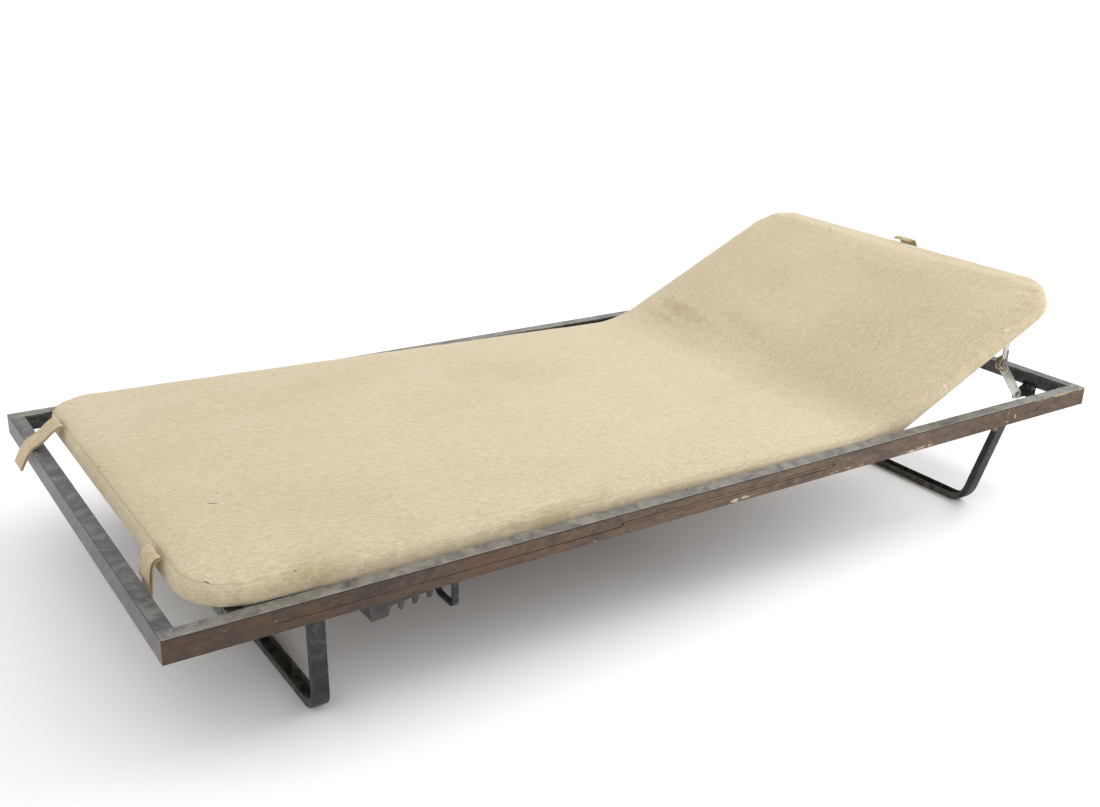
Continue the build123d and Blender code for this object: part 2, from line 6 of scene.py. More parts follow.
import bmesh
import bpy
import numpy as np
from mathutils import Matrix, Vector


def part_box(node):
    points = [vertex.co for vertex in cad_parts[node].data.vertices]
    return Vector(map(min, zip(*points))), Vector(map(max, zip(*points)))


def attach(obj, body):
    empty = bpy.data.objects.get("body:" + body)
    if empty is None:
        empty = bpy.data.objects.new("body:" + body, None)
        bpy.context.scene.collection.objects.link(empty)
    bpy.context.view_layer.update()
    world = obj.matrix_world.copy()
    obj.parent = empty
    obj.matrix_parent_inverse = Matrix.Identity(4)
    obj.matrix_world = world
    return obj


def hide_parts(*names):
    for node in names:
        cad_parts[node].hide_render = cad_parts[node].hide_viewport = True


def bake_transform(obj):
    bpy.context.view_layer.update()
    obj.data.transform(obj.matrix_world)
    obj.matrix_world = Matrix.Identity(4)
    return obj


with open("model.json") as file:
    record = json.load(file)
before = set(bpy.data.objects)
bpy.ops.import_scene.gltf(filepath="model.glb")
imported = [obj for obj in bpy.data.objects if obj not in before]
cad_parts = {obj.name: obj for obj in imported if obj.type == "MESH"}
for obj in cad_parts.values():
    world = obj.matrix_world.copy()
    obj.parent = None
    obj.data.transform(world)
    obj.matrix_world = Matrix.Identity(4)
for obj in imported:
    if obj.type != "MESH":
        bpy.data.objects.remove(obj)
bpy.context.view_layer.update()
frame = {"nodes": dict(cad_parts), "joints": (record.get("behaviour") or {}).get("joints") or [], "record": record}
nodes = frame["nodes"]
joints = {joint["name"]: joint for joint in frame["joints"]}

# ---- places taken from the frame ----
HINGE = Vector(joints["foot_raise"]["pos_m"])
FRAME_LOW, FRAME_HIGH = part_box("near_rail")[0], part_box("far_rail")[1]
FRAME_TOP = FRAME_HIGH.z
FOOT_END, HEAD_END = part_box("foot_rail")[0].x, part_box("head_rail")[1].x
NEAR_SIDE, FAR_SIDE = FRAME_LOW.y, FRAME_HIGH.y

# ---- the pad ----
FOOT_SLOPE = radians(1.5)
HEAD_SLOPE = radians(24.5)
PAD_FOOT = -1.365
PAD_HEAD = 0.580
PAD_HALF_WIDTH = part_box("foot_pad")[1].y
PAD_CORNER = 0.095
PAD_UNDERSIDE = 0.0133
PAD_THICKNESS = 0.046
PAD_SWELL = 0.004
PAD_RIM = 0.016
BEND_REACH = 0.078
SEAM_INSET = 0.014
FULLER = (0.0018, 0.0066)
CROWN = (0.0, 0.0012, 0.0016, 0.0010, 0.0, 0.0022, 0.0046, 0.0062, 0.0042, 0.0)
VOXEL = 0.0065
SEAM_DEPTH = 0.0004
PUCKER_DEPTH = 0.0006

# ---- cloth, webbing and the CAD pieces' edges ----
CANVAS_MIDDLE, CANVAS_DARK, CANVAS_LIGHT = (0.545, 0.458, 0.312), (0.462, 0.376, 0.243), (0.612, 0.525, 0.374)
WEBBING_WIDTH = 0.050
WEBBING_THICKNESS = 0.0022
RIB_PITCH = 0.0016
STITCH_PITCH = 0.0042
EDGE_RADIUS = 0.0006
FLOOR_REACH = 14

# ---- the camera, where the photographer stood ----
CAMERA_AT = (-1.3652, -1.9083, 1.1172)
CAMERA_TURN = (69.075, -1.783, -33.595)
CAMERA_LENS = 40.71
CAMERA_SENSOR = 36.0


# ---- shader building ----
class Shader:
    """A node material under construction. Each method adds one node and returns its output socket."""

    def __init__(self, name):
        self.material = bpy.data.materials.new(name)
        self.material.use_nodes = True
        self.tree = self.material.node_tree
        self.tree.nodes.clear()
        self.surface = self.tree.nodes.new("ShaderNodeBsdfPrincipled")
        output = self.tree.nodes.new("ShaderNodeOutputMaterial")
        self.tree.links.new(self.surface.outputs["BSDF"], output.inputs["Surface"])

    def put(self, socket, value):
        """Links a socket, or sets its own value."""
        if isinstance(value, bpy.types.NodeSocket):
            self.tree.links.new(value, socket)
        elif isinstance(value, tuple) and len(value) == 3 and len(socket.default_value) == 4:
            socket.default_value = (*value, 1.0)
        else:
            socket.default_value = value

    def set(self, **values):
        """Sets inputs of the surface, with underscores for the spaces in their names."""
        for name, value in values.items():
            self.put(self.surface.inputs[name.replace("_", " ")], value)

    def node(self, kind, values, **settings):
        made = self.tree.nodes.new(kind)
        for name, value in settings.items():
            setattr(made, name, value)
        for place, value in values.items():
            self.put(made.inputs[place], value)
        return made

    def math(self, operation, a, b=0.0, c=0.0, clamp=False):
        made = self.node("ShaderNodeMath", {0: a, 1: b, 2: c}, operation=operation, use_clamp=clamp)
        return made.outputs[0]

    def vector(self, operation, a, b=(0.0, 0.0, 0.0), scale=1.0):
        values = {0: a, 3: scale} if operation == "SCALE" else {0: a, 1: b}
        made = self.node("ShaderNodeVectorMath", values, operation=operation)
        return made.outputs[1 if operation == "LENGTH" else 0]

    def place(self):
        """The point in the row frame, at rest."""
        return self.node("ShaderNodeTexCoord", {}).outputs["Object"]

    def facing(self):
        """The surface's direction in the row frame, at rest."""
        return self.node("ShaderNodeTexCoord", {}).outputs["Normal"]

    def parts(self, vector):
        return self.node("ShaderNodeSeparateXYZ", {0: vector}).outputs

    def attribute(self, name, output="Fac"):
        return self.node("ShaderNodeAttribute", {}, attribute_name=name).outputs[output]

    def step(self, value, low, high):
        """0 below low and 1 above high, and the other way round when low is the larger."""
        values = {"Value": value, 1: min(low, high), 2: max(low, high)}
        values.update({3: 0.0, 4: 1.0} if low < high else {3: 1.0, 4: 0.0})
        return self.node("ShaderNodeMapRange", values, interpolation_type="SMOOTHSTEP").outputs[0]

    def noise(self, where, scale, detail=4.0, rough=0.55, stretch=(1.0, 1.0, 1.0), warp=0.0, shift=0.0):
        moved = self.node(
            "ShaderNodeMapping", {"Vector": where, "Scale": stretch, "Location": (shift, -shift, shift / 2)}
        ).outputs[0]
        values = {"Vector": moved, "Scale": scale, "Detail": detail, "Roughness": rough, "Distortion": warp}
        return self.node("ShaderNodeTexNoise", values).outputs[0]

    def ramp(self, value, *stops):
        """Colours along a value, as (position, (r, g, b)) stops."""
        made = self.node("ShaderNodeValToRGB", {0: value})
        band = made.color_ramp
        while len(band.elements) < len(stops):
            band.elements.new(0.5)
        for element, (position, colour) in zip(band.elements, stops):
            element.position = position
            element.color = (*colour, 1.0)
        return made.outputs[0]

    def mix(self, share, a, b, blend="MIX"):
        made = self.tree.nodes.new("ShaderNodeMix")
        made.data_type = "RGBA"
        made.blend_type = blend
        for index, value in ((0, share), (6, a), (7, b)):
            self.put(made.inputs[index], value)
        return made.outputs[2]

    def bump(self, height, depth, below=None):
        """Relief of a height from 0 to 1, depth metres deep, over any relief below it."""
        values = {"Height": height, "Distance": depth, "Strength": 1.0}
        if below is not None:
            values["Normal"] = below
        return self.node("ShaderNodeBump", values).outputs[0]

    def any_of(self, *shares):
        total = shares[0]
        for share in shares[1:]:
            total = self.math("MAXIMUM", total, share)
        return total

    def all_of(self, *shares):
        total = shares[0]
        for share in shares[1:]:
            total = self.math("MULTIPLY", total, share)
        return total

    def inverse(self, share):
        return self.math("SUBTRACT", 1.0, share)

    def band(self, value, low, high, soft):
        """1 between low and high, falling to 0 within soft outside them."""
        return self.all_of(self.step(value, low - soft, low), self.step(value, high + soft, high))

    def spot(self, where, centre, size, turn=0.0, ragged=0.35):
        """A ragged ellipse in the XY plane, 1 inside and 0 outside."""
        local = self.vector("SUBTRACT", where, (*centre, 0.0))
        turned = self.node("ShaderNodeVectorRotate", {"Vector": local, "Angle": turn}).outputs[0]
        scaled = self.vector("MULTIPLY", turned, (1 / size[0], 1 / size[1], 0.0))
        far = self.vector("LENGTH", scaled)
        rough = self.noise(where, 1.2 / min(size), 3.0)
        edge = self.math("ADD", far, self.math("MULTIPLY", rough, ragged * 2))
        return self.step(edge, 1.0 + ragged, 0.5 + ragged)


# ---- materials ----
def weave(shader, where, pitch):
    """Height of a plain weave of threads pitch metres apart, in the XY plane."""
    across = shader.parts(shader.vector("SCALE", where, scale=pi / pitch))
    over = shader.math("MULTIPLY", shader.math("SINE", across[0]), shader.math("SINE", across[1]))
    return shader.math("MULTIPLY_ADD", over, 0.5, 0.5)


def cloth_colours(shader, where, light, dark, dust):
    """The heather of a coarse unbleached cloth: slubs along the length and flecks across it."""
    slubs = shader.noise(where, 300.0, 3.0, 0.7, (0.22, 1.0, 1.0))
    flecks = shader.noise(where, 460.0, 2.0, 0.6, (1.0, 0.35, 1.0), shift=3.0)
    threads = shader.math("MULTIPLY_ADD", slubs, 0.62, shader.math("MULTIPLY", flecks, 0.38))
    base = shader.ramp(threads, (0.36, dark), (0.5, light), (0.62, dust))
    return base, threads


def pad_cloth():
    """Coarse ecru canvas, soiled where the cot was used and rubbed pale along its rim."""
    shader = Shader("pad_canvas")
    where = shader.attribute("pad_flat", "Vector")
    base, threads = cloth_colours(shader, where, CANVAS_MIDDLE, CANVAS_DARK, CANVAS_LIGHT)
    clouds = shader.noise(where, 2.6, 5.0, 0.6, (0.7, 1.0, 1.0))
    base = shader.mix(shader.step(clouds, 0.42, 0.70), base, (0.94, 0.925, 0.90), "MULTIPLY")
    from_edge = shader.attribute("from_edge")
    streaks = shader.noise(where, 14.0, 5.0, 0.65, (0.35, 1.0, 1.0), shift=5.0)
    for centre, size, turn, depth in DARK_PATCHES:
        mask = shader.all_of(shader.spot(where, centre, size, turn, 0.8), shader.step(streaks, 0.25, 0.75))
        base = shader.mix(shader.math("MULTIPLY", mask, depth), base, (0.76, 0.71, 0.62), "MULTIPLY")
    sides = shader.parts(where)
    near = shader.step(sides[1], -PAD_HALF_WIDTH + 0.075, -PAD_HALF_WIDTH + 0.012)
    mould = shader.all_of(near, shader.band(sides[0], -1.20, -0.62, 0.15), shader.step(streaks, 0.47, 0.60))
    base = shader.mix(shader.math("MULTIPLY", mould, 0.45), base, (0.66, 0.70, 0.56), "MULTIPLY")
    patchy = shader.noise(where, 38.0, 4.0, 0.7, shift=9.0)
    worn = shader.all_of(shader.step(from_edge, 0.016, 0.002), shader.step(patchy, 0.50, 0.62))
    base = shader.mix(shader.math("MULTIPLY", worn, 0.5), base, (0.72, 0.62, 0.46))
    grime = shader.all_of(shader.step(from_edge, 0.030, 0.004), shader.step(streaks, 0.45, 0.66))
    base = shader.mix(shader.math("MULTIPLY", grime, 0.25), base, (0.82, 0.76, 0.67), "MULTIPLY")
    for centre, size, turn, colour in MARKS:
        base = shader.mix(shader.spot(where, centre, size, turn), base, colour)
    from_seam = shader.math("ABSOLUTE", shader.math("SUBTRACT", from_edge, SEAM_INSET))
    seam = shader.step(from_seam, 0.0020, 0.0004)
    soiled_seam = shader.all_of(seam, shader.step(sides[0], -1.20, -1.34))
    base = shader.mix(shader.math("MULTIPLY", soiled_seam, 0.40), base, (0.70, 0.62, 0.52), "MULTIPLY")
    relief = shader.bump(weave(shader, where, 0.0011), 0.00016)
    relief = shader.bump(threads, 0.00032, relief)
    relief = shader.bump(shader.inverse(seam), 0.0003, relief)
    shader.set(Base_Color=base, Normal=relief, Roughness=0.95, Sheen_Weight=0.18, Sheen_Roughness=0.5)
    shader.set(Specular_IOR_Level=0.15)
    return shader.material


# Darker patches and marks on the pad, in its flat pattern: (centre, half sizes, turn, ...).
DARK_PATCHES = (
    # The first three are darker bands across the pad just past the bend.
    ((0.105, 0.27), (0.026, 0.13), 0.12, 0.85),
    ((0.130, 0.08), (0.024, 0.14), 0.25, 0.50),
    ((0.060, 0.30), (0.014, 0.12), 0.10, 0.45),
    ((0.36, 0.12), (0.16, 0.07), 0.5, 0.22),
    ((0.525, 0.19), (0.042, 0.005), -0.78, 0.75),
    ((0.44, -0.12), (0.12, 0.04), 1.3, 0.16),
    ((0.30, -0.20), (0.14, 0.03), 0.9, 0.14),
    ((-0.45, 0.18), (0.20, 0.09), 0.2, 0.14),
    ((-1.05, 0.24), (0.26, 0.07), 0.05, 0.12),
    ((-0.80, -0.28), (0.28, 0.07), 0.15, 0.12),
)
MARKS = (
    ((-1.240, -0.176), (0.0105, 0.0020), 0.45, (0.09, 0.075, 0.06)),
    ((-1.219, -0.142), (0.0040, 0.0018), 1.1, (0.16, 0.12, 0.07)),
    ((-1.274, -0.102), (0.0022, 0.0018), 0.0, (0.12, 0.10, 0.07)),
    ((-1.348, 0.065), (0.0040, 0.0024), 0.4, (0.24, 0.18, 0.09)),
    ((-1.206, -0.421), (0.0022, 0.0014), 0.3, (0.20, 0.17, 0.10)),
    ((-0.928, 0.349), (0.0034, 0.0026), 0.0, (0.28, 0.13, 0.06)),
    ((-1.326, -0.398), (0.0062, 0.0012), 0.9, (0.05, 0.20, 0.15)),
    ((0.250, -0.183), (0.0030, 0.0024), 0.0, (0.20, 0.15, 0.09)),
    ((0.395, -0.424), (0.0100, 0.0018), 0.2, (0.66, 0.58, 0.44)),
    ((0.201, -0.427), (0.0060, 0.0015), 0.2, (0.64, 0.56, 0.42)),
)


def webbing():
    """Folded cotton canvas strapping, ribbed along its length, with a row of stitches along each edge."""
    shader = Shader("strap_canvas")
    where = shader.attribute("strap_flat", "Vector")
    base, threads = cloth_colours(shader, where, (0.50, 0.40, 0.25), (0.36, 0.28, 0.16), (0.62, 0.51, 0.35))
    along, across = shader.parts(where)[0], shader.parts(where)[1]
    wave = shader.math("SINE", shader.math("MULTIPLY", across, 2 * pi / RIB_PITCH))
    ribs = shader.math("MULTIPLY_ADD", wave, 0.5, 0.5)
    from_middle = shader.math("ABSOLUTE", across)
    # Painted shade: both edges of the strap darkened, standing for the shadow along the folded strap's edges.
    edge = shader.step(from_middle, 0.0215, 0.0248)
    base = shader.mix(shader.math("MULTIPLY", edge, 0.5), base, (0.62, 0.54, 0.44), "MULTIPLY")
    row = shader.band(from_middle, 0.0204, 0.0212, 0.0004)
    dash = shader.step(shader.math("SINE", shader.math("MULTIPLY", along, 2 * pi / STITCH_PITCH)), -0.5, -0.1)
    stitches = shader.all_of(row, dash)
    base = shader.mix(shader.math("MULTIPLY", stitches, 0.6), base, (0.70, 0.60, 0.42))
    relief = shader.bump(ribs, 0.0002)
    relief = shader.bump(threads, 0.0005, relief)
    relief = shader.bump(stitches, 0.0004, relief)
    shader.set(Base_Color=base, Normal=relief, Roughness=0.93, Sheen_Weight=0.15, Specular_IOR_Level=0.15)
    return shader.material


def rust(shader, where, shift=0.0):
    """Brown rusted steel with orange patches and dark scale, drawn out along the rail."""
    fine = shader.noise(where, 95.0, 7.0, 0.74, (0.5, 1.0, 1.0), 0.5, shift)
    broad = shader.noise(where, 9.0, 6.0, 0.66, (0.5, 1.3, 1.3), 0.8, shift + 4.0)
    base = shader.ramp(
        fine, (0.30, (0.046, 0.035, 0.029)), (0.48, (0.094, 0.066, 0.049)), (0.66, (0.145, 0.098, 0.068))
    )
    orange = shader.step(broad, 0.52, 0.66)
    base = shader.mix(shader.math("MULTIPLY", orange, 0.40), base, (0.155, 0.070, 0.036))
    scale = shader.step(broad, 0.46, 0.34)
    base = shader.mix(shader.math("MULTIPLY", scale, 0.6), base, (0.050, 0.042, 0.039))
    return base, fine


def black_paint(shader, where, shift=0.0):
    """Black stoving paint gone grey in streaks and smears, with scratches."""
    smears = shader.noise(where, 22.0, 6.0, 0.62, (1.0, 1.0, 1.0), 1.4, shift)
    fine = shader.noise(where, 180.0, 4.0, 0.7, (0.6, 1.0, 1.0), 0.0, shift)
    base = shader.ramp(
        smears, (0.36, (0.018, 0.018, 0.019)), (0.50, (0.055, 0.055, 0.053)), (0.63, (0.130, 0.124, 0.110))
    )
    drawn_out = shader.noise(where, 42.0, 5.0, 0.8, (0.12, 1.0, 1.0), 0.3, shift + 7.0)
    scratches = shader.step(drawn_out, 0.66, 0.70)
    base = shader.mix(shader.math("MULTIPLY", scratches, 0.35), base, (0.28, 0.26, 0.22))
    return base, smears, fine


def along_the_rail(shader, at, brown):
    """Rust that is darker at the foot end, warmest past the middle and duller at the head end."""
    along = shader.step(at[0], FOOT_END + 0.05, 0.10)
    shade = shader.mix(along, (0.60, 0.56, 0.50), (1.26, 1.19, 1.12))
    shade = shader.mix(shader.step(at[0], 0.50, 0.74), shade, (0.96, 0.90, 0.84))
    return shader.mix(1.0, brown, shade, "MULTIPLY")


def rubbed_flange(shader, where, smears):
    """The long rails' top flanges, rubbed grey-brown with dark blotches of paint."""
    rubbed = shader.ramp(
        smears, (0.36, (0.062, 0.061, 0.057)), (0.50, (0.148, 0.139, 0.118)), (0.64, (0.225, 0.207, 0.172))
    )
    blotches = shader.step(shader.noise(where, 6.5, 6.0, 0.7, (0.6, 1.0, 1.0), 1.0, 2.0), 0.60, 0.68)
    return shader.mix(shader.math("MULTIPLY", blotches, 0.7), rubbed, (0.050, 0.048, 0.044))


def old_primer(shader, where, rusty, below_top, base):
    """Cream paint that still shows through the rust, and where it shows."""
    chips = shader.noise(where, 70.0, 5.0, 0.75, (0.5, 1.0, 1.6), 0.4, 11.0)
    lower = shader.math("MULTIPLY_ADD", shader.step(below_top, 0.022, 0.036), 0.75, 0.10)
    chipped = shader.all_of(rusty, shader.step(chips, 0.665, 0.69), lower)
    for centre, size in PRIMER_CHIPS:
        near = shader.vector("MULTIPLY", shader.vector("SUBTRACT", where, centre), tuple(1 / s for s in size))
        inside = shader.step(shader.vector("LENGTH", near), 1.0, 0.7)
        patch = shader.all_of(inside, shader.step(chips, 0.53, 0.58))
        chipped = shader.any_of(chipped, shader.all_of(rusty, patch))
    base = shader.mix(chipped, base, (0.50, 0.43, 0.30))
    by_the_head = shader.step(shader.parts(where)[0], HEAD_END - 0.20, HEAD_END - 0.10)
    top_line = shader.band(below_top, 0.0005, 0.0030, 0.0010)
    primer = shader.all_of(rusty, top_line, by_the_head, shader.step(chips, 0.40, 0.52))
    return shader.mix(primer, base, (0.40, 0.32, 0.16)), chipped


def edge_wear_and_shade(shader, at, up, fine, base):
    """Bright wear along the long rails' top edges, and painted shade along the foot rail's rounded outer top edge.
    """
    from_middle = shader.math("ABSOLUTE", at[1])
    edge = shader.all_of(up, shader.step(from_middle, FAR_SIDE - 0.0022, FAR_SIDE - 0.0008))
    edge = shader.all_of(edge, shader.step(fine, 0.40, 0.56))
    base = shader.mix(shader.math("MULTIPLY", edge, 0.6), base, (0.30, 0.27, 0.22))
    # Painted shade: a near-black line along the foot rail's outer top edge, standing for the shade of its rounded
    # lip.
    end_edge_shade = shader.all_of(up, shader.step(at[0], FOOT_END + 0.0028, FOOT_END + 0.0012))
    return shader.mix(shader.math("MULTIPLY", end_edge_shade, 0.75), base, (0.020, 0.020, 0.021))


def rail_paint():
    """Angle iron: black paint on the flanges and ends, rust on the long rails' outer faces."""
    shader = Shader("rail_steel")
    where = shader.place()
    at, out = shader.parts(where), shader.parts(shader.facing())
    paint, smears, fine = black_paint(shader, where)
    brown, rust_relief = rust(shader, where)
    up = shader.step(out[2], 0.5, 0.8)
    sideways = shader.step(shader.math("ABSOLUTE", out[1]), 0.5, 0.8)
    near_face = shader.step(at[1], NEAR_SIDE + 0.0012, NEAR_SIDE + 0.0004)
    far_face = shader.step(at[1], FAR_SIDE - 0.0012, FAR_SIDE - 0.0004)
    rusty = shader.all_of(shader.any_of(near_face, far_face), sideways)
    from_middle = shader.math("ABSOLUTE", at[1])
    long_top = shader.all_of(up, shader.step(from_middle, FAR_SIDE - 0.0275, FAR_SIDE - 0.0255))
    base = shader.mix(long_top, paint, rubbed_flange(shader, where, smears))
    base = shader.mix(rusty, base, along_the_rail(shader, at, brown))
    below_top = shader.math("SUBTRACT", FRAME_TOP, at[2])
    # Painted shadow: a near-black line just under the top edge of the rusted outer faces, standing for the shadow
    # under the flange's lip.
    line = shader.all_of(rusty, shader.band(below_top, 0.0010, 0.0024, 0.0008))
    base = shader.mix(shader.math("MULTIPLY", line, 0.8), base, (0.018, 0.015, 0.014))
    base, chipped = old_primer(shader, where, rusty, below_top, base)
    base = edge_wear_and_shade(shader, at, up, fine, base)
    paint_rough = shader.math("MULTIPLY_ADD", smears, 0.30, 0.26)
    rough = shader.math("MULTIPLY_ADD", rusty, 0.36, paint_rough)
    relief = shader.bump(fine, 0.00015)
    relief = shader.bump(shader.all_of(rust_relief, rusty), 0.0008, relief)
    relief = shader.bump(shader.inverse(chipped), 0.0003, relief)
    shader.set(Base_Color=base, Normal=relief, Roughness=rough, Specular_IOR_Level=0.5)
    return shader.material


# Where the rail's old cream paint still shows: (centre, half sizes).
PRIMER_CHIPS = (
    ((HEAD_END - 0.255, NEAR_SIDE, FRAME_TOP - 0.020), (0.004, 0.01, 0.020)),
    ((HEAD_END - 0.232, NEAR_SIDE, FRAME_TOP - 0.018), (0.003, 0.01, 0.020)),
    ((HEAD_END - 0.290, NEAR_SIDE, FRAME_TOP - 0.012), (0.012, 0.01, 0.006)),
    ((HEAD_END - 0.520, NEAR_SIDE, FRAME_TOP - 0.034), (0.060, 0.01, 0.004)),
    ((HEAD_END - 0.720, NEAR_SIDE, FRAME_TOP - 0.034), (0.050, 0.01, 0.004)),
    ((HEAD_END - 0.980, NEAR_SIDE, FRAME_TOP - 0.033), (0.035, 0.01, 0.005)),
    ((FOOT_END + 0.085, NEAR_SIDE, FRAME_TOP - 0.014), (0.006, 0.01, 0.005)),
)


def leg_paint():
    """Charcoal paint, smeared grey in places and scuffed where the loop stands on the floor."""
    shader = Shader("leg_steel")
    where = shader.place()
    height = shader.parts(where)[2]
    paint, smears, fine = black_paint(shader, where, 13.0)
    paint = shader.mix(0.66, paint, (0.018, 0.018, 0.019))
    scuffs = shader.noise(where, 55.0, 5.0, 0.75, (1.0, 1.0, 1.0), 0.8, 21.0)
    worn = shader.all_of(shader.step(height, 0.030, 0.004), shader.step(scuffs, 0.44, 0.60))
    base = shader.mix(shader.math("MULTIPLY", worn, 0.7), paint, (0.15, 0.135, 0.11))
    flecks = shader.step(scuffs, 0.685, 0.70)
    base = shader.mix(flecks, base, (0.30, 0.27, 0.22))
    rough = shader.math("MULTIPLY_ADD", smears, 0.3, 0.34)
    shader.set(Base_Color=base, Normal=shader.bump(fine, 0.0002), Roughness=rough, Specular_IOR_Level=0.22)
    return shader.material


def section_paint():
    """Dark brown-black paint on the sections' bars, lugs and brackets, rusting through."""
    shader = Shader("section_steel")
    where = shader.place()
    paint, smears, fine = black_paint(shader, where, 31.0)
    brown, relief = rust(shader, where, 17.0)
    through = shader.step(shader.noise(where, 16.0, 6.0, 0.7, shift=23.0), 0.50, 0.60)
    dull = shader.mix(0.45, paint, (0.028, 0.025, 0.023))
    base = shader.mix(shader.math("MULTIPLY", through, 0.75), dull, brown)
    rough = shader.math("MULTIPLY_ADD", through, 0.35, 0.42)
    bumped = shader.bump(shader.all_of(relief, through), 0.0006, shader.bump(fine, 0.0002))
    shader.set(Base_Color=base, Normal=bumped, Roughness=rough)
    return shader.material


def bare_steel():
    """Oily dark steel with light rust in its pores."""
    shader = Shader("bare_steel_oiled")
    where = shader.place()
    grain = shader.noise(where, 240.0, 4.0, 0.7, (0.3, 1.0, 1.0))
    tarnish = shader.noise(where, 30.0, 6.0, 0.7, shift=6.0)
    base = shader.ramp(grain, (0.35, (0.14, 0.135, 0.13)), (0.65, (0.26, 0.25, 0.235)))
    pores = shader.step(tarnish, 0.52, 0.64)
    base = shader.mix(shader.math("MULTIPLY", pores, 0.7), base, (0.11, 0.065, 0.040))
    rough = shader.math("MULTIPLY_ADD", pores, 0.35, 0.38)
    metal = shader.math("MULTIPLY_ADD", pores, -0.7, 0.85)
    shader.set(Base_Color=base, Metallic=metal, Roughness=rough, Normal=shader.bump(grain, 0.0002))
    return shader.material


def zinc():
    """Dull zinc plate, spangled, with patches of yellow-white bloom."""
    shader = Shader("zinc_plate")
    where = shader.place()
    spangle = shader.node("ShaderNodeTexVoronoi", {"Vector": where, "Scale": 260.0}).outputs["Distance"]
    bloom = shader.noise(where, 45.0, 6.0, 0.7, shift=2.0)
    base = shader.ramp(spangle, (0.1, (0.44, 0.43, 0.39)), (0.9, (0.56, 0.55, 0.50)))
    white = shader.step(bloom, 0.50, 0.66)
    base = shader.mix(shader.math("MULTIPLY", white, 0.65), base, (0.46, 0.42, 0.33))
    dirt = shader.step(bloom, 0.42, 0.30)
    base = shader.mix(shader.math("MULTIPLY", dirt, 0.6), base, (0.13, 0.115, 0.095))
    rough = shader.math("MULTIPLY_ADD", white, 0.30, 0.36)
    metal = shader.math("MULTIPLY_ADD", white, -0.55, 0.90)
    shader.set(Base_Color=base, Metallic=metal, Roughness=rough, Normal=shader.bump(bloom, 0.0003))
    return shader.material


def brass():
    """Lacquered brass gone olive."""
    shader = Shader("brass_tarnished")
    where = shader.place()
    tarnish = shader.noise(where, 120.0, 6.0, 0.7)
    base = shader.ramp(
        tarnish, (0.34, (0.16, 0.12, 0.055)), (0.52, (0.36, 0.29, 0.13)), (0.68, (0.52, 0.44, 0.22))
    )
    rough = shader.math("MULTIPLY_ADD", tarnish, 0.3, 0.28)
    shader.set(Base_Color=base, Metallic=0.85, Roughness=rough, Normal=shader.bump(tarnish, 0.0002))
    return shader.material


def board():
    """Brown hardboard with long fibres, stained in broad patches."""
    shader = Shader("hardboard")
    where = shader.place()
    fibres = shader.noise(where, 320.0, 5.0, 0.75, (0.25, 1.0, 1.0), 0.5)
    stains = shader.noise(where, 3.5, 6.0, 0.65, warp=0.6, shift=5.0)
    base = shader.ramp(fibres, (0.32, (0.085, 0.050, 0.028)), (0.66, (0.19, 0.120, 0.070)))
    base = shader.mix(shader.step(stains, 0.46, 0.66), base, (0.60, 0.52, 0.46), "MULTIPLY")
    shader.set(Base_Color=base, Roughness=0.74, Normal=shader.bump(fibres, 0.0004))
    return shader.material


def rubber():
    """Perished black rubber, dusty and crazed."""
    shader = Shader("buffer_rubber_old")
    where = shader.place()
    crazing = shader.node(
        "ShaderNodeTexVoronoi", {"Vector": where, "Scale": 420.0}, feature="DISTANCE_TO_EDGE"
    ).outputs["Distance"]
    dust = shader.noise(where, 80.0, 5.0, 0.7)
    base = shader.ramp(dust, (0.38, (0.018, 0.017, 0.016)), (0.68, (0.075, 0.068, 0.058)))
    shader.set(Base_Color=base, Roughness=0.82, Normal=shader.bump(crazing, 0.0005))
    return shader.material


# ---- small mesh tools ----
def new_mesh(name, points, faces, material, smooth=True):
    mesh = bpy.data.meshes.new(name)
    mesh.from_pydata([tuple(p) for p in points], [], faces)
    mesh.materials.append(material)
    mesh.polygons.foreach_set("use_smooth", [smooth] * len(mesh.polygons))
    made = bpy.data.objects.new(name, mesh)
    bpy.context.scene.collection.objects.link(made)
    return made


def points_of(mesh):
    found = np.zeros(len(mesh.vertices) * 3)
    mesh.vertices.foreach_get("co", found)
    return found.reshape(-1, 3)


def write_points(mesh, points):
    mesh.vertices.foreach_set("co", np.asarray(points, np.float32).ravel())
    mesh.update()


def write_attribute(mesh, name, values):
    """A number or a vector for each vertex, which materials read."""
    kind = "FLOAT" if values.ndim == 1 else "FLOAT_VECTOR"
    held = mesh.attributes.new(name, kind, "POINT")
    held.data.foreach_set("value" if values.ndim == 1 else "vector", values.astype(np.float32).ravel())


def apply_modifiers(piece):
    graph = bpy.context.evaluated_depsgraph_get()
    mesh = bpy.data.meshes.new_from_object(piece.evaluated_get(graph))
    piece.modifiers.clear()
    piece.data = mesh


def smooth_line(points, spans=10):
    """Points along a smooth curve through the given ones."""
    line = np.array(points, float)
    padded = np.vstack([2 * line[0] - line[1], line, 2 * line[-1] - line[-2]])
    found = []
    for a, b, c, d in zip(padded, padded[1:], padded[2:], padded[3:]):
        for t in np.arange(spans) / spans:
            curve = (2 * a - 5 * b + 4 * c - d) * t**2 + (3 * b - a - 3 * c + d) * t**3
            found.append(0.5 * (2 * b + (c - a) * t + curve))
    return np.array([*found, line[-1]])


# ---- pad shape ----
def outline_distance(u, y):
    """How far inside the pad's outline a point of its flat pattern is, negative outside."""
    middle = (PAD_FOOT + PAD_HEAD) / 2
    half = (PAD_HEAD - PAD_FOOT) / 2
    x = np.abs(u - middle) - (half - PAD_CORNER)
    z = np.abs(y) - (PAD_HALF_WIDTH - PAD_CORNER)
    outside = np.hypot(np.maximum(x, 0), np.maximum(z, 0))
    return PAD_CORNER - outside - np.minimum(np.maximum(x, z), 0)


